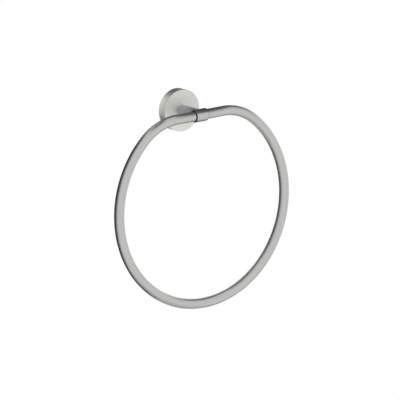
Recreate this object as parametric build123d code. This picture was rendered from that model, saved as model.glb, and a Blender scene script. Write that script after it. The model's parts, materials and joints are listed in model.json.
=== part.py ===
from build123d import *
import os
from math import atan2, cos, sin, sqrt

# Wall-mounted towel ring. A turned rosette clamps over a hidden wall plate, a post stands out
# of the rosette, and a short sleeve across the end of the post carries a bent tube ring.
# The ring has a straight top, so it swings freely in the sleeve.
#
# Millimetres. The wall is the plane Y = 0 and the ring hangs in front of it, towards -Y.
# X runs along the wall and Z is up. The origin is the middle of the wall plate's back.

# Ring
ring_width = 200.0  # outside, from side to side
tube_diameter = 9.5
tube_wall = 1.0
flat_drop = 9.75  # straight top below the crown that a full circle would have
corner_radius = 54.0  # bend between the straight top and the round
tube_end_gap = 0.4  # between the two tube ends, hidden in the sleeve

# Pin that joins the two tube ends
pin_reach = 4.0  # past each end of the sleeve
pin_edge = 0.5
pin_gap = 0.05  # around the pin, inside the tube

# Sleeve across the post, and its nylon liner
sleeve_length = 13.0
sleeve_wall = 0.5
sleeve_edge = 0.15
liner_wall = 0.6
liner_gap = 0.05  # around the liner inside the sleeve, and between its lips and the sleeve's ends
lip_height = 0.3  # of the liner's lips, over its outside
lip_length = 0.25
running_gap = 0.1  # around the tube, inside the liner

# Post
post_diameter = 11.0
post_reach = 28.5  # rosette face to the axis of the sleeve
post_edge = 0.25
braze_gap = 0.05  # between the post's saddle and the sleeve
tapped_depth = 10.0

# Rosette
rosette_diameter = 40.0
rosette_depth = 9.5
rosette_wall = 2.0
rosette_face = 2.5
rosette_edge = 0.3

# Wall plate
plate_gap = 0.3  # around the plate, inside the rosette
plate_room = 1.0  # plate's front to the inside of the rosette's face
plate_land = 1.0  # straight rim at the plate's front
plate_foot = 1.5  # straight rim at the wall, below the undercut flank
wall_hole_diameter = 4.5
wall_hole_spacing = 22.0
wall_hole_sink = 9.0  # countersink across the plate's front
plate_bore_room = 1.75  # around the head of the post screw

# Screw that holds the post, and its lock washer
screw_diameter = 5.0
screw_length = 12.0
screw_head_diameter = 8.5
screw_head_height = 3.5
screw_key = 3.0  # across the flats of the socket
screw_key_depth = 2.0
screw_edge = 0.4
screw_room = 0.25  # around the shank, in the rosette and the washer
washer_diameter = 9.2
washer_thickness = 1.2
washer_split = 1.0

# Grub screw at the bottom of the rosette
grub_diameter = 4.0
grub_setback = 3.0  # wall to the axis of the grub screw
grub_recess = 0.3  # below the rosette's rim
grub_key = 2.0
grub_key_depth = 1.5
grub_contact = 0.05  # cone point to the plate's undercut flank

thread_gap = 0.05  # around each screw, in its tapped hole

# Places and sizes that follow from the ones above
tube_radius = tube_diameter / 2
tube_bore_radius = tube_radius - tube_wall
liner_bore_radius = tube_radius + running_gap
liner_radius = liner_bore_radius + liner_wall
lip_radius = liner_radius + lip_height
sleeve_bore_radius = liner_radius + liner_gap
sleeve_radius = sleeve_bore_radius + sleeve_wall

round_radius = ring_width / 2 - tube_radius  # middle of the tube
round_drop = round_radius - flat_drop  # straight top down to the middle of the round
straight_half = sqrt(flat_drop * (round_radius + round_drop - 2 * corner_radius))
corner_turn = atan2(straight_half, round_drop - corner_radius)

front_y = -rosette_depth
inside_y = front_y + rosette_face
sleeve_y = front_y - post_reach

rosette_radius = rosette_diameter / 2
plate_radius = rosette_radius - rosette_wall - plate_gap
plate_front_y = inside_y + plate_room
flank_front_y = plate_front_y + plate_land
undercut = -flank_front_y - plate_foot
foot_radius = plate_radius - undercut
plate_bore_radius = screw_head_diameter / 2 + plate_bore_room

washer_back_y = inside_y + washer_thickness
screw_hole_radius = screw_diameter / 2 + screw_room
grub_point = plate_radius + flank_front_y + grub_setback + grub_contact * sqrt(2)


def turned(*outline):
    """Turn a closed outline of (radius, y) points about the Y axis."""
    return revolve(make_face(Polyline(*outline, close=True)), Axis.Y)


def bar(radius, start, end):
    """Round bar between two points."""
    along = Vector(*end) - Vector(*start)
    return extrude(Plane(Vector(*start), z_dir=along) * Circle(radius), along.length)


def key_socket(mouth, direction, across_flats, depth):
    """Hexagonal key socket, with flats to the left and right, to be cut from a screw."""
    seat = Plane(mouth, x_dir=(1, 0, 0), z_dir=direction)
    return extrude(seat * RegularPolygon(across_flats / 2, 6, major_radius=False), depth)


def round_edge(solid, axis, end):
    """The largest circular edge at one end of a turned solid: 0 is the low end, -1 the high."""
    circles = solid.edges().filter_by(GeomType.CIRCLE)
    return circles.group_by(axis)[end].sort_by(SortBy.RADIUS)[-1]


def make_ring():
    """Bent tube: straight top, two corner bends and the long round, open inside the sleeve."""
    top_end = tube_end_gap / 2
    middle = (0, -round_drop)
    meet_x = round_radius * sin(corner_turn)
    meet_z = round_radius * cos(corner_turn) - round_drop
    half_turn = corner_turn / 2
    bend_x = straight_half + corner_radius * sin(half_turn)
    bend_z = corner_radius * (cos(half_turn) - 1)
    bottom_z = middle[1] - round_radius
    route = [
        Line((top_end, 0), (straight_half, 0)),
        ThreePointArc((straight_half, 0), (bend_x, bend_z), (meet_x, meet_z)),
        ThreePointArc((meet_x, meet_z), (0, bottom_z), (-meet_x, meet_z)),
        ThreePointArc((-meet_x, meet_z), (-bend_x, bend_z), (-straight_half, 0)),
        Line((-straight_half, 0), (-top_end, 0)),
    ]
    ring_plane = Plane((0, sleeve_y, 0), x_dir=(1, 0, 0), z_dir=(0, -1, 0))
    path = ring_plane * Wire([run.edge() for run in route])
    cut_face = Plane((top_end, sleeve_y, 0), z_dir=(1, 0, 0))
    outside = sweep(cut_face * Circle(tube_radius), path=path)
    inside = sweep(cut_face * Circle(tube_bore_radius), path=path)
    return outside - inside


def make_joining_pin():
    """Plain pin with eased ends, inside the two ends of the ring's tube."""
    half = sleeve_length / 2 + pin_reach
    pin = bar(tube_bore_radius - pin_gap, (-half, sleeve_y, 0), (half, sleeve_y, 0))
    return chamfer([round_edge(pin, Axis.X, 0), round_edge(pin, Axis.X, -1)], pin_edge)


def make_sleeve():
    """Tube with eased ends, across the end of the post."""
    half = sleeve_length / 2
    ends = (-half, sleeve_y, 0), (half, sleeve_y, 0)
    sleeve = bar(sleeve_radius, *ends) - bar(sleeve_bore_radius, *ends)
    return chamfer([round_edge(sleeve, Axis.X, 0), round_edge(sleeve, Axis.X, -1)], sleeve_edge)


def make_liner():
    """Nylon tube in the sleeve, with a thin lip over each of the sleeve's ends."""
    lip_start = sleeve_length / 2 + liner_gap
    lip_end = lip_start + lip_length
    ends = (-lip_end, sleeve_y, 0), (lip_end, sleeve_y, 0)
    liner = bar(liner_radius, *ends)
    for side in (-1, 1):
        liner += bar(lip_radius, (side * lip_start, sleeve_y, 0), (side * lip_end, sleeve_y, 0))
    return liner - bar(liner_bore_radius, *ends)


def make_post():
    """Bar with an eased foot, a saddle for the sleeve and a tapped hole for the post screw."""
    post = bar(post_diameter / 2, (0, front_y, 0), (0, sleeve_y, 0))
    post = chamfer(round_edge(post, Axis.Y, -1), post_edge)
    tapped_radius = screw_diameter / 2 + thread_gap
    bottom_y = front_y - tapped_depth
    drill_point = turned((0, bottom_y), (tapped_radius, bottom_y), (0, bottom_y - tapped_radius / 2))
    hole = bar(tapped_radius, (0, front_y, 0), (0, bottom_y, 0)) + drill_point
    saddle_half = post_diameter
    saddle = bar(sleeve_radius + braze_gap, (-saddle_half, sleeve_y, 0), (saddle_half, sleeve_y, 0))
    return post - hole - saddle


def make_rosette():
    """Turned cup with a rounded front edge, a centre hole and a tapped hole in its lower rim."""
    inner_radius = rosette_radius - rosette_wall
    rosette = turned(
        (screw_hole_radius, front_y),
        (rosette_radius, front_y),
        (rosette_radius, 0),
        (inner_radius, 0),
        (inner_radius, inside_y),
        (screw_hole_radius, inside_y),
    )
    rosette = fillet(round_edge(rosette, Axis.Y, 0), rosette_edge)
    tapped_radius = grub_diameter / 2 + thread_gap
    from_inside = (0, -grub_setback, -plate_radius)
    to_outside = (0, -grub_setback, -rosette_radius - rosette_wall)
    return rosette - bar(tapped_radius, from_inside, to_outside)


def make_wall_plate():
    """Disc with an undercut rim for the grub screw and countersunk holes for the wall screws."""
    plate = turned(
        (plate_bore_radius, 0),
        (foot_radius, 0),
        (foot_radius, -plate_foot),
        (plate_radius, flank_front_y),
        (plate_radius, plate_front_y),
        (plate_bore_radius, plate_front_y),
    )
    hole_radius = wall_hole_diameter / 2
    sink_radius = wall_hole_sink / 2
    sink_floor_y = plate_front_y + sink_radius - hole_radius
    wall_hole = turned(
        (0, 0),
        (hole_radius, 0),
        (hole_radius, sink_floor_y),
        (sink_radius, plate_front_y),
        (0, plate_front_y),
    )
    for side in (-1, 1):
        plate -= Pos(side * wall_hole_spacing / 2, 0, 0) * wall_hole
    return plate


def make_post_screw():
    """Low socket-head screw through the rosette's face into the post."""
    head_back_y = washer_back_y + screw_head_height
    tip_y = washer_back_y - screw_length
    screw = turned(
        (0, head_back_y),
        (screw_head_diameter / 2 - screw_edge, head_back_y),
        (screw_head_diameter / 2, head_back_y - screw_edge),
        (screw_head_diameter / 2, washer_back_y),
        (screw_diameter / 2, washer_back_y),
        (screw_diameter / 2, tip_y + screw_edge),
        (screw_diameter / 2 - screw_edge, tip_y),
        (0, tip_y),
    )
    return screw - key_socket((0, head_back_y, 0), (0, -1, 0), screw_key, screw_key_depth)


def make_lock_washer():
    """Split spring washer, closed flat between the screw's head and the rosette."""
    washer = turned(
        (screw_hole_radius, inside_y),
        (washer_diameter / 2, inside_y),
        (washer_diameter / 2, washer_back_y),
        (screw_hole_radius, washer_back_y),
    )
    split_at = Pos(0, (inside_y + washer_back_y) / 2, washer_diameter / 2)
    return washer - split_at * Box(washer_split, 2 * washer_thickness, washer_diameter)


def make_grub_screw():
    """Headless socket screw whose cone point bears on the plate's undercut flank."""
    radius = grub_diameter / 2
    mouth = rosette_radius - grub_recess
    outline = [(0, grub_point), (radius, grub_point + radius), (radius, mouth), (0, mouth)]
    upright = Rot(-90, 0, 0) * turned(*outline)
    screw = Pos(0, -grub_setback, 0) * upright
    socket = key_socket((0, -grub_setback, -mouth), (0, 0, 1), grub_key, grub_key_depth)
    return screw - socket


pieces = {
    "wall_plate": make_wall_plate,
    "rosette": make_rosette,
    "grub_screw": make_grub_screw,
    "post": make_post,
    "post_screw": make_post_screw,
    "lock_washer": make_lock_washer,
    "sleeve": make_sleeve,
    "sleeve_liner": make_liner,
    "ring": make_ring,
    "joining_pin": make_joining_pin,
}

os.makedirs("parts", exist_ok=True)
for node, make in pieces.items():
    export_step(make(), f"parts/{node}.step")
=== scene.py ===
import json
from math import atan2, cos, pi, radians, sin, sqrt

import bpy
from mathutils import Matrix, Vector


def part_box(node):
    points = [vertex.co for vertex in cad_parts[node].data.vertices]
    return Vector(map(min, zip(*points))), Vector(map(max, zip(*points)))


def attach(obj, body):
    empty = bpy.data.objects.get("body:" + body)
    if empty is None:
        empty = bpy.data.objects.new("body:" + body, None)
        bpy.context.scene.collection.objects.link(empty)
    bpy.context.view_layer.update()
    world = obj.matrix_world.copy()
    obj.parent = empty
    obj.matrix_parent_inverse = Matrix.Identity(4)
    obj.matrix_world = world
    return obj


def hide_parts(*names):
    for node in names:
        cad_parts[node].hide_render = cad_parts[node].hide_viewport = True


# Brushed steel towel ring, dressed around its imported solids. Metres, in the solids' own frame:
# the wall is the plane Y = 0, the ring hangs towards -Y, X runs along the wall and Z is up.

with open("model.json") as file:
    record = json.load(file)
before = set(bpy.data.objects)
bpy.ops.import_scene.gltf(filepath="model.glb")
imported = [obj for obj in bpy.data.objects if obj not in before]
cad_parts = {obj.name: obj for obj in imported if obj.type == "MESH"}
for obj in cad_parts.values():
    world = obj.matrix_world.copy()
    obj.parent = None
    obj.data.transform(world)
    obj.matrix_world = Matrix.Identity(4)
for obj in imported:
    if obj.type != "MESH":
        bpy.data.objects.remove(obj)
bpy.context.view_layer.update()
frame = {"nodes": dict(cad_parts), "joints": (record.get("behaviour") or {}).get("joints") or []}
nodes = frame["nodes"]

# Sizes of the ring, from its solid and its hinge. The corner radius, wall and end gap don't show in
# the solid's box, so they are repeated from the part's source.
ring_low, ring_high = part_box("ring")
pivot = Vector(frame["joints"][0]["pos_m"])
tube_radius = (ring_high.y - ring_low.y) / 2
round_radius = (ring_high.x - ring_low.x) / 2 - tube_radius
round_drop = pivot.z - ring_low.z - tube_radius - round_radius
corner_radius = 0.054
tube_wall = 0.001
tube_end_gap = 0.0004
straight_half = sqrt((round_radius - corner_radius) ** 2 - (round_drop - corner_radius) ** 2)
corner_turn = atan2(straight_half, round_drop - corner_radius)

# Mesh of the ring's tube
corner_steps = 65
round_steps = 513
steps_along = 561
steps_around = 57
run_weld = 0.00002
seam_weld = 0.00001
sharp_angle = radians(40)

# Finish. The turned pieces' colours hold painted light and shade: the rosette's is lightened, the
# post's and sleeve's darkened
# Painted light: the rosette's steel is lighter than the metal is, to make up for the shade that the
# dark cards and nearby parts cast into its reflection
turned_colour_lightened = (0.80, 0.80, 0.755, 1)
# Painted shade: the post's steel is darker and bluer than the rosette's, standing in for the shade
# around its foot
post_shaded_colour = (0.412, 0.42, 0.448, 1)
# Painted shade: the sleeve's steel is darker than the rosette's, which deepens its shaded top
sleeve_shaded_colour = (0.50, 0.505, 0.50, 1)
drawn_colour = (0.525, 0.532, 0.510, 1)
zinc_colour = (0.50, 0.51, 0.52, 1)
screw_colour = (0.36, 0.36, 0.36, 1)
nylon_colour = (0.012, 0.012, 0.013, 1)
turned_roughness = 0.56
post_roughness = 0.36
sleeve_roughness = 0.30
drawn_roughness = 0.34
zinc_roughness = 0.5
screw_roughness = 0.32
nylon_roughness = 0.5
nylon_roughness_range = 0.2
nylon_grain_scale = 2500.0
broad_line_factor = 7

# Studio
world_light = 0.6
world_glow_when_seen = 0.4
floor_height = -0.5
floor_radius = 0.32
floor_steps = 96
floor_colour = (0.74, 0.74, 0.73, 1)
floor_roughness = 0.9
lamp_place = Vector((-0.5, -0.9, 1.2))
lamp_size = 1.0
lamp_watts = 12

# Studio cards that only the metal mirrors, each a soft-edged part of a sphere: its name, centre,
# radius, azimuths, elevations and colour. The four angles are where a card starts, is full, begins
# to thin and ends, in degrees. The near ones keep out of the swinging ring's way, but for a faint
# corner of sleeve_shade. A ray less deep than first_mirroring has met the metal only once.
card_columns = 61
card_rows = 41
first_mirroring = 1.5
card_black = (0.013, 0.016, 0.032, 1)
card_dark = (0.066, 0.073, 0.092, 1)
card_grey = (0.345, 0.36, 0.39, 1)
card_white = (1, 1, 0.97, 1)
ring_side = Vector((-0.04, pivot.y, -0.05))
ring_middle = pivot - Vector((0, 0, round_drop))
left_foot = Vector((-0.065, pivot.y, -0.165))
left_bend = Vector((-0.057, pivot.y, -0.01))
left_top = Vector((-0.03, pivot.y, 0))
rosette_rim = Vector((-0.01, -0.005, 0))
rosette_top = Vector((0, -0.005, 0.02))
mirror_cards = (
    ("left_card", ring_side, 0.8, (-194, -176, -124, -78), (-89, -76, 50, 74), card_black),
    ("top_card", pivot, 0.7, (60, 100, 170, 200), (6, 26, 48, 62), card_dark),
    ("low_card", pivot, 0.8, (70, 100, 150, 170), (-74, -62, -42, -28), card_grey),
    ("left_shade", ring_middle, 0.115, (-99, -95.5, -91.5, -87), (-64, -52, 44, 56), card_black),
    ("foot_shade", left_foot, 0.07, (-215, -195, -110, -50), (-90, -89.9, -66, -50), card_black),
    ("bend_over_shade", left_bend, 0.045, (-38, -20, 90, 140), (54, 64, 89.9, 90), card_black),
    ("top_shade", left_top, 0.09, (80, 100, 160, 178), (32, 44, 70, 82), card_dark),
    ("rim_card", rosette_rim, 0.045, (-182, -166, -134, -118), (-24, -13, 46, 60), card_white),
    ("rim_shade", rosette_top, 0.07, (105, 128, 190, 206), (8, 22, 58, 74), card_black),
    ("sleeve_shade", pivot, 0.08, (10, 45, 125, 150), (23, 41, 66, 80), card_dark),
    ("sleeve_low_shade", pivot, 0.08, (112, 122, 150, 165), (-60, -48, -12, -2), card_black),
)

# Camera, from the photograph's perspective. Angles in degrees.
view_azimuth = -35.3
view_elevation = 14.05
view_roll = -2.1
camera_distance = 2.953
aim_right = 0.00015
aim_up = -0.0789
focal_pixels = 3173
picture_pixels = 400
sensor_mm = 36


class Tree:
    """Short forms for building a node tree."""

    def __init__(self, tree):
        self.tree = tree

    def add(self, kind, **settings):
        node = self.tree.nodes.new(kind)
        for name, value in settings.items():
            setattr(node, name, value)
        return node

    def feed(self, socket, value):
        if isinstance(value, bpy.types.NodeSocket):
            self.tree.links.new(value, socket)
        else:
            socket.default_value = value

    def math(self, operation, *values):
        node = self.add("ShaderNodeMath", operation=operation)
        for socket, value in zip(node.inputs, values):
            self.feed(socket, value)
        return node.outputs[0]

    def combine(self, x=0.0, y=0.0, z=0.0):
        node = self.add("ShaderNodeCombineXYZ")
        for socket, value in zip(node.inputs, (x, y, z)):
            self.feed(socket, value)
        return node.outputs[0]

    def separate(self, vector):
        node = self.add("ShaderNodeSeparateXYZ")
        self.feed(node.inputs[0], vector)
        return node.outputs

    def socket(self, name, kind, way="INPUT"):
        self.tree.interface.new_socket(name, in_out=way, socket_type=kind)


def brush_lines_group():
    """Fine hair lines left by brushing: they vary quickly across the grain and slowly along it."""
    tree = Tree(bpy.data.node_groups.new("brush_lines", "ShaderNodeTree"))
    for name in ("Across A", "Across B", "Along A", "Along B", "Line Width", "Line Length"):
        tree.socket(name, "NodeSocketFloat")
    for name in ("Fine", "Broad"):
        tree.socket(name, "NodeSocketFloat", "OUTPUT")
    given = tree.add("NodeGroupInput").outputs
    result = tree.add("NodeGroupOutput").inputs
    for name, widen in (("Fine", 1), ("Broad", broad_line_factor)):
        width = tree.math("MULTIPLY", given["Line Width"], widen)
        length = tree.math("MULTIPLY", given["Line Length"], sqrt(widen))
        place = tree.combine(
            tree.math("DIVIDE", given["Across A"], width),
            tree.math("DIVIDE", given["Across B"], width),
            tree.math("DIVIDE", given["Along A"], length),
        )
        noise = tree.add("ShaderNodeTexNoise", noise_dimensions="4D")
        tree.feed(noise.inputs["Vector"], place)
        tree.feed(noise.inputs["W"], tree.math("DIVIDE", given["Along B"], length))
        tree.feed(noise.inputs["Scale"], 1.0)
        tree.feed(noise.inputs["Detail"], 2.0)
        tree.feed(result[name], noise.outputs[0])
    return tree.tree


def turned_place_group():
    """Place on a piece turned about X: its radius, and how far along the axis and across it."""
    tree = Tree(bpy.data.node_groups.new("turned_place", "ShaderNodeTree"))
    tree.socket("Vector", "NodeSocketVector")
    for name in ("Radius", "Axial", "Side", "Up"):
        tree.socket(name, "NodeSocketFloat", "OUTPUT")
    given = tree.add("NodeGroupInput").outputs
    result = tree.add("NodeGroupOutput").inputs
    axial, side, up = tree.separate(given["Vector"])
    squares = tree.math("ADD", tree.math("MULTIPLY", side, side), tree.math("MULTIPLY", up, up))
    tree.feed(result["Radius"], tree.math("SQRT", squares))
    tree.feed(result["Axial"], axial)
    tree.feed(result["Side"], side)
    tree.feed(result["Up"], up)
    return tree.tree


brush_lines = brush_lines_group()
turned_place = turned_place_group()


def start_material(name):
    """New material, the tree it is built in and the inputs of its shader."""
    material = bpy.data.materials.new(name)
    material.use_nodes = True
    tree = Tree(material.node_tree)
    return material, tree, material.node_tree.nodes["Principled BSDF"].inputs


def brushed_metal(name, colour, roughness, grain, blur=0.0, blur_turn=0.0, tangent=None,
                  line_width=0.00018, line_length=0.03, tone=0.08, polish=0.04, depth=0.000001):
    """Metal with hair lines. grain(tree) gives the four places that brush_lines reads."""
    material, tree, shader = start_material(name)
    lines = tree.add("ShaderNodeGroup", node_tree=brush_lines)
    for socket, place in zip(lines.inputs, grain(tree)):
        tree.feed(socket, place)
    tree.feed(lines.inputs["Line Width"], line_width)
    tree.feed(lines.inputs["Line Length"], line_length)
    both = tree.math("ADD", lines.outputs["Fine"], lines.outputs["Broad"])
    # Each of the two varies around a half, so their sum varies around one
    centred = tree.math("SUBTRACT", both, 1.0)
    shade = tree.add("ShaderNodeMix", data_type="RGBA", blend_type="MULTIPLY")
    shade_factor, shade_a, shade_b = shade.inputs[0], shade.inputs[6], shade.inputs[7]
    shaded_colour = shade.outputs[2]
    tree.feed(shade_factor, 1.0)
    tree.feed(shade_a, colour)
    level = tree.math("MULTIPLY_ADD", centred, 2 * tone, 1.0)
    tree.feed(shade_b, tree.combine(level, level, level))
    tree.feed(shader["Base Color"], shaded_colour)
    tree.feed(shader["Roughness"], tree.math("MULTIPLY_ADD", centred, 2 * polish, roughness))
    tree.feed(shader["Metallic"], 1.0)
    tree.feed(shader["Anisotropic"], blur)
    tree.feed(shader["Anisotropic Rotation"], blur_turn)
    bump = tree.add("ShaderNodeBump")
    tree.feed(bump.inputs["Strength"], 1.0)
    tree.feed(bump.inputs["Distance"], depth)
    tree.feed(bump.inputs["Height"], both)
    tree.feed(shader["Normal"], bump.outputs[0])
    if tangent:
        tree.feed(shader["Tangent"], tangent(tree))
    return material


def along_the_tube(tree):
    """Grain of the drawn tube, from the straightened places stored on its mesh."""
    place = tree.add("ShaderNodeAttribute", attribute_name="straightened")
    along, side, up = tree.separate(place.outputs["Vector"])
    return side, up, along, 0.0


def round_an_axis(centre, turn):
    """Grain of a turned piece whose axis passes through centre and lies along X once turned."""
    def grain(tree):
        object_place = tree.add("ShaderNodeTexCoord").outputs["Object"]
        moved = tree.add("ShaderNodeMapping", vector_type="TEXTURE")
        tree.feed(moved.inputs["Vector"], object_place)
        tree.feed(moved.inputs["Location"], centre)
        tree.feed(moved.inputs["Rotation"], (0, 0, turn))
        place = tree.add("ShaderNodeGroup", node_tree=turned_place)
        tree.feed(place.inputs[0], moved.outputs[0])
        return [place.outputs[name] for name in ("Radius", "Axial", "Side", "Up")]
    return grain


def uv_tangent(tree):
    """Direction of the mirror blur on the tube, from its unwrapped mesh."""
    return tree.add("ShaderNodeTangent", direction_type="UV_MAP", uv_map="UVMap").outputs[0]


def radial_tangent(axis):
    """Direction of the mirror blur on a piece turned about one of its own axes."""
    def tangent(tree):
        return tree.add("ShaderNodeTangent", direction_type="RADIAL", axis=axis).outputs[0]
    return tangent


def nylon():
    """Matt moulded plastic with a faint grain."""
    material, tree, shader = start_material("black_nylon")
    noise = tree.add("ShaderNodeTexNoise")
    tree.feed(noise.inputs["Vector"], tree.add("ShaderNodeTexCoord").outputs["Object"])
    tree.feed(noise.inputs["Scale"], nylon_grain_scale)
    roughness = tree.math("MULTIPLY_ADD", noise.outputs[0], nylon_roughness_range, nylon_roughness)
    tree.feed(shader["Base Color"], nylon_colour)
    tree.feed(shader["Roughness"], roughness)
    return material


along_x = 0
along_y = radians(90)
quarter_turn = 0.25
round_the_post = round_an_axis((0, 0, 0), along_y)
round_the_sleeve = round_an_axis(pivot, along_x)
drawn_steel = brushed_metal("drawn_steel", drawn_colour, drawn_roughness, along_the_tube,
                            blur=0.75, tangent=uv_tangent, tone=0.12)
# The rosette's, post's and sleeve's finishes carry the painted light and shade of their colours
lightened_turned_steel = brushed_metal("lightened_turned_steel", turned_colour_lightened, turned_roughness, round_the_post,
                             line_length=0.008)
shaded_post_steel = brushed_metal("shaded_post_steel", post_shaded_colour, post_roughness, round_the_post,
                           line_length=0.008)
shaded_sleeve_steel = brushed_metal("shaded_sleeve_steel", sleeve_shaded_colour, sleeve_roughness, round_the_sleeve,
                             blur=0.5, blur_turn=quarter_turn, tangent=radial_tangent("X"),
                             line_length=0.006)
zinc = brushed_metal("dull_zinc", zinc_colour, zinc_roughness, round_the_post,
                     line_width=0.0004, line_length=0.006)
screw_metal = brushed_metal("screw_steel", screw_colour, screw_roughness, round_the_post,
                            line_length=0.003)
black_nylon = nylon()


def ring_tube_tree():
    """Geometry nodes: a tube along straight top, corner bends and round, with its grain stored."""
    tree = Tree(bpy.data.node_groups.new("ring_tube", "GeometryNodeTree"))
    tree.tree.is_modifier = True
    for name in ("Round Radius", "Round Drop", "Corner Radius", "Corner Turn", "Straight Half",
                 "End Gap", "Tube Radius"):
        tree.socket(name, "NodeSocketFloat")
    for name in ("Steps Along", "Steps Around"):
        tree.socket(name, "NodeSocketInt")
    tree.socket("Place", "NodeSocketVector")
    tree.socket("Finish", "NodeSocketMaterial")
    tree.socket("Geometry", "NodeSocketGeometry", "OUTPUT")
    given = tree.add("NodeGroupInput").outputs
    result = tree.add("NodeGroupOutput").inputs

    def arc(radius, start, sweep, steps):
        made = tree.add("GeometryNodeCurveArc", mode="RADIUS")
        tree.feed(made.inputs["Resolution"], steps)
        tree.feed(made.inputs["Radius"], radius)
        tree.feed(made.inputs["Start Angle"], start)
        tree.feed(made.inputs["Sweep Angle"], sweep)
        return made.outputs["Curve"]

    def moved(geometry, x, y):
        made = tree.add("GeometryNodeTransform")
        tree.feed(made.inputs["Geometry"], geometry)
        tree.feed(made.inputs["Translation"], tree.combine(x, y))
        return made.outputs[0]

    def line(start, end):
        made = tree.add("GeometryNodeCurvePrimitiveLine")
        tree.feed(made.inputs["Start"], start)
        tree.feed(made.inputs["End"], end)
        return made.outputs[0]

    # The path lies in the plane of X and Y, with the middle of the straight top at the origin
    turn = given["Corner Turn"]
    straight = given["Straight Half"]
    bend = given["Corner Radius"]
    half_gap = tree.math("MULTIPLY", given["End Gap"], 0.5)
    left = tree.math("MULTIPLY", straight, -1.0)
    bend_down = tree.math("MULTIPLY", bend, -1.0)
    quarter = pi / 2
    round_start = tree.math("ADD", turn, quarter)
    round_sweep = tree.math("MULTIPLY_ADD", turn, -2.0, 2 * pi)
    round_down = tree.math("MULTIPLY", given["Round Drop"], -1.0)
    right_start = tree.math("SUBTRACT", quarter, turn)
    runs = [
        line(tree.combine(half_gap), tree.combine(straight)),
        moved(arc(bend, right_start, turn, corner_steps), straight, bend_down),
        moved(arc(given["Round Radius"], round_start, round_sweep, round_steps), 0.0, round_down),
        moved(arc(bend, quarter, turn, corner_steps), left, bend_down),
        line(tree.combine(left), tree.combine(tree.math("MULTIPLY", half_gap, -1.0))),
    ]
    join = tree.add("GeometryNodeJoinGeometry")
    for run in runs:
        tree.tree.links.new(run, join.inputs[0])
    edges = tree.add("GeometryNodeCurveToMesh")
    tree.feed(edges.inputs["Curve"], join.outputs[0])
    weld = tree.add("GeometryNodeMergeByDistance")
    tree.feed(weld.inputs["Geometry"], edges.outputs[0])
    tree.feed(weld.inputs["Distance"], run_weld)
    path = tree.add("GeometryNodeMeshToCurve")
    tree.feed(path.inputs["Mesh"], weld.outputs[0])
    even = tree.add("GeometryNodeResampleCurve")
    tree.feed(even.inputs["Curve"], path.outputs[0])
    tree.feed(even.inputs["Count"], given["Steps Along"])
    along = tree.add("GeometryNodeCaptureAttribute", domain="POINT")
    along.capture_items.new("FLOAT", "along")
    tree.feed(along.inputs["Geometry"], even.outputs[0])
    tree.feed(along.inputs["along"], tree.add("GeometryNodeSplineParameter").outputs["Length"])

    profile = arc(given["Tube Radius"], 0.0, 2 * pi, given["Steps Around"])
    around = tree.add("GeometryNodeCaptureAttribute", domain="POINT")
    around.capture_items.new("VECTOR", "section")
    around.capture_items.new("FLOAT", "share")
    tree.feed(around.inputs["Geometry"], profile)
    tree.feed(around.inputs["section"], tree.add("GeometryNodeInputPosition").outputs[0])
    tree.feed(around.inputs["share"], tree.add("GeometryNodeSplineParameter").outputs["Factor"])

    tube = tree.add("GeometryNodeCurveToMesh")
    tree.feed(tube.inputs["Curve"], along.outputs["Geometry"])
    tree.feed(tube.inputs["Profile Curve"], around.outputs["Geometry"])
    section = tree.separate(around.outputs["section"])
    straightened = tree.combine(along.outputs["along"], section[0], section[1])
    store = tree.add("GeometryNodeStoreNamedAttribute", data_type="FLOAT_VECTOR", domain="POINT")
    tree.feed(store.inputs["Geometry"], tube.outputs[0])
    tree.feed(store.inputs["Name"], "straightened")
    tree.feed(store.inputs["Value"], straightened)
    unwrap = tree.add("GeometryNodeStoreNamedAttribute", data_type="FLOAT2", domain="CORNER")
    tree.feed(unwrap.inputs["Geometry"], store.outputs[0])
    tree.feed(unwrap.inputs["Name"], "UVMap")
    tree.feed(unwrap.inputs["Value"], tree.combine(around.outputs["share"], along.outputs["along"]))
    closed = tree.add("GeometryNodeMergeByDistance")
    tree.feed(closed.inputs["Geometry"], unwrap.outputs[0])
    tree.feed(closed.inputs["Distance"], seam_weld)
    stand = tree.add("GeometryNodeTransform")
    tree.feed(stand.inputs["Geometry"], closed.outputs[0])
    tree.feed(stand.inputs["Translation"], given["Place"])
    tree.feed(stand.inputs["Rotation"], (quarter, 0, 0))
    real = tree.add("GeometryNodeRealizeInstances")
    tree.feed(real.inputs[0], stand.outputs[0])
    finish = tree.add("GeometryNodeSetMaterial")
    tree.feed(finish.inputs["Geometry"], real.outputs[0])
    tree.feed(finish.inputs["Material"], given["Finish"])
    tree.feed(result["Geometry"], finish.outputs[0])
    return tree.tree


def set_inputs(modifier, values):
    """Sets the inputs of a geometry nodes modifier by their names."""
    for item in modifier.node_group.interface.items_tree:
        if item.in_out == "INPUT" and item.name in values:
            modifier[item.identifier] = values[item.name]


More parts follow.
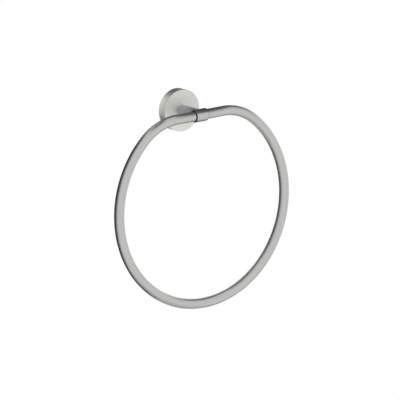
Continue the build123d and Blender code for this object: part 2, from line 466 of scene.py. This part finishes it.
def make_ring():
    """The ring's bent tube as one hollow mesh in place of its solid."""
    maker = bpy.data.objects.new("ring_maker", bpy.data.meshes.new("ring_maker"))
    bpy.context.scene.collection.objects.link(maker)
    nodes_modifier = maker.modifiers.new("tube", "NODES")
    nodes_modifier.node_group = ring_tube_tree()
    set_inputs(nodes_modifier, {
        "Round Radius": round_radius,
        "Round Drop": round_drop,
        "Corner Radius": corner_radius,
        "Corner Turn": corner_turn,
        "Straight Half": straight_half,
        "End Gap": tube_end_gap,
        "Tube Radius": tube_radius,
        "Steps Along": steps_along,
        "Steps Around": steps_around,
        "Place": pivot,
        "Finish": drawn_steel,
    })
    wall = maker.modifiers.new("wall", "SOLIDIFY")
    wall.thickness = tube_wall
    wall.offset = -1
    view = bpy.context.evaluated_depsgraph_get()
    mesh = bpy.data.meshes.new_from_object(maker.evaluated_get(view), depsgraph=view)
    bpy.data.objects.remove(maker)
    mesh.name = "ring_tube"
    mesh.shade_smooth()
    mesh.set_sharp_from_angle(angle=sharp_angle)
    ring = bpy.data.objects.new("ring_tube", mesh)
    bpy.context.scene.collection.objects.link(ring)
    return ring


def dress(node, material):
    """Gives a solid its finish."""
    mesh = nodes[node].data
    mesh.materials.clear()
    mesh.materials.append(material)


ring = make_ring()
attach(ring, "swing_ring")
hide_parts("ring")
finishes = {
    "rosette": lightened_turned_steel,
    "post": shaded_post_steel,
    "sleeve": shaded_sleeve_steel,
    "sleeve_liner": black_nylon,
    "wall_plate": zinc,
    "joining_pin": zinc,
    "post_screw": screw_metal,
    "lock_washer": screw_metal,
    "grub_screw": screw_metal,
}
for node, material in finishes.items():
    dress(node, material)


def white_world():
    """White all around: full where it is seen or mirrored, weaker as a light."""
    world = bpy.data.worlds.new("white_studio")
    world.use_nodes = True
    bpy.context.scene.world = world
    tree = Tree(world.node_tree)
    background = world.node_tree.nodes["Background"]
    rays = tree.add("ShaderNodeLightPath").outputs
    seen = tree.math("MAXIMUM", rays["Is Camera Ray"], rays["Is Glossy Ray"])
    seen = tree.math("MAXIMUM", seen, rays["Is Transmission Ray"])
    strength = tree.math("MULTIPLY_ADD", seen, world_glow_when_seen, world_light)
    tree.feed(background.inputs["Color"], (1, 1, 1, 1))
    tree.feed(background.inputs["Strength"], strength)


def direction(azimuth, elevation):
    """Unit vector: azimuth 0 points out of the wall and grows to the right, seen from the front."""
    azimuth, elevation = radians(azimuth), radians(elevation)
    level = cos(elevation)
    return Vector((sin(azimuth) * level, -cos(azimuth) * level, sin(elevation)))


def fade(angle, start, full, thin, end):
    """Rises from 0 to 1 between start and full and falls again between thin and end."""
    share = min((angle - start) / (full - start), (end - angle) / (end - thin), 1)
    return share * share * (3 - 2 * share)


def card_finish(name, colour):
    """Plain glow where the card covers, clear elsewhere and for all but the first mirroring."""
    material = bpy.data.materials.new(name)
    material.use_nodes = True
    material.node_tree.nodes.clear()
    tree = Tree(material.node_tree)
    glow = tree.add("ShaderNodeEmission")
    tree.feed(glow.inputs["Color"], colour)
    clear = tree.add("ShaderNodeBsdfTransparent")
    depth = tree.add("ShaderNodeLightPath").outputs["Ray Depth"]
    first = tree.math("LESS_THAN", depth, first_mirroring)
    cover = tree.add("ShaderNodeAttribute", attribute_name="cover").outputs["Fac"]
    pick = tree.add("ShaderNodeMixShader")
    tree.feed(pick.inputs[0], tree.math("MULTIPLY", first, cover))
    tree.feed(pick.inputs[1], clear.outputs[0])
    tree.feed(pick.inputs[2], glow.outputs[0])
    output = tree.add("ShaderNodeOutputMaterial")
    tree.feed(output.inputs["Surface"], pick.outputs[0])
    return material


def mirror_card(name, centre, radius, azimuths, elevations, colour):
    """Soft-edged part of a sphere around a centre, which only the metal sees."""
    points, cover, faces = [], [], []
    for row in range(card_rows):
        elevation = elevations[0] + (elevations[3] - elevations[0]) * row / (card_rows - 1)
        for column in range(card_columns):
            azimuth = azimuths[0] + (azimuths[3] - azimuths[0]) * column / (card_columns - 1)
            points.append(centre + direction(azimuth, elevation) * radius)
            cover.append(fade(azimuth, *azimuths) * fade(elevation, *elevations))
            if row and column:
                corner = row * card_columns + column
                below = corner - card_columns
                faces.append((corner, corner - 1, below - 1, below))
    mesh = bpy.data.meshes.new(name)
    mesh.from_pydata(points, [], faces)
    mesh.shade_smooth()
    mesh.attributes.new("cover", "FLOAT", "POINT").data.foreach_set("value", cover)
    mesh.materials.append(card_finish(name, colour))
    made = bpy.data.objects.new(name, mesh)
    made.visible_camera = False
    made.visible_diffuse = False
    made.visible_shadow = False
    bpy.context.scene.collection.objects.link(made)


def make_floor():
    """Pale round floor below the ring, which fades out at its rim."""
    mesh = bpy.data.meshes.new("floor")
    turns = [2 * pi * step / floor_steps for step in range(floor_steps)]
    mesh.from_pydata([(floor_radius * cos(t), floor_radius * sin(t), 0) for t in turns], [],
                     [tuple(range(floor_steps))])
    material, tree, shader = start_material("pale_floor")
    tree.feed(shader["Base Color"], floor_colour)
    tree.feed(shader["Roughness"], floor_roughness)
    place = tree.add("ShaderNodeTexCoord").outputs["Object"]
    length = tree.add("ShaderNodeVectorMath", operation="LENGTH")
    tree.feed(length.inputs[0], place)
    thinning = tree.add("ShaderNodeMapRange", interpolation_type="SMOOTHSTEP")
    for name, value in (("From Min", floor_radius), ("From Max", floor_radius / 2)):
        tree.feed(thinning.inputs[name], value)
    tree.feed(thinning.inputs["Value"], length.outputs["Value"])
    tree.feed(shader["Alpha"], thinning.outputs[0])
    mesh.materials.append(material)
    floor = bpy.data.objects.new("floor", mesh)
    floor.location = (0, pivot.y, floor_height)
    bpy.context.scene.collection.objects.link(floor)


def soft_lamp():
    """Large round lamp in front, to the left and above, which the metal doesn't mirror."""
    data = bpy.data.lights.new("soft_lamp", "AREA")
    data.shape = "DISK"
    data.size = lamp_size
    data.energy = lamp_watts
    lamp = bpy.data.objects.new("soft_lamp", data)
    turn = (lamp_place - pivot).to_track_quat("Z", "Y").to_matrix().to_4x4()
    lamp.matrix_world = Matrix.Translation(lamp_place) @ turn
    lamp.visible_glossy = False
    lamp.visible_camera = False
    bpy.context.scene.collection.objects.link(lamp)


def make_camera():
    """The photograph's camera, with its small roll."""
    back = direction(view_azimuth, view_elevation)
    azimuth, roll = radians(view_azimuth), radians(view_roll)
    level_right = Vector((cos(azimuth), sin(azimuth), 0))
    level_up = back.cross(level_right)
    right = level_right * cos(roll) + level_up * sin(roll)
    up = level_up * cos(roll) - level_right * sin(roll)
    data = bpy.data.cameras.new("camera")
    data.sensor_width = sensor_mm
    data.lens = focal_pixels / picture_pixels * sensor_mm
    camera = bpy.data.objects.new("camera", data)
    turn = Matrix((right, up, back)).transposed().to_4x4()
    place = pivot + back * camera_distance + right * aim_right + up * aim_up
    camera.matrix_world = Matrix.Translation(place) @ turn
    bpy.context.scene.collection.objects.link(camera)
    bpy.context.scene.camera = camera


white_world()
for card in mirror_cards:
    mirror_card(*card)
make_floor()
soft_lamp()
make_camera()
bpy.context.scene.view_settings.view_transform = "Standard"
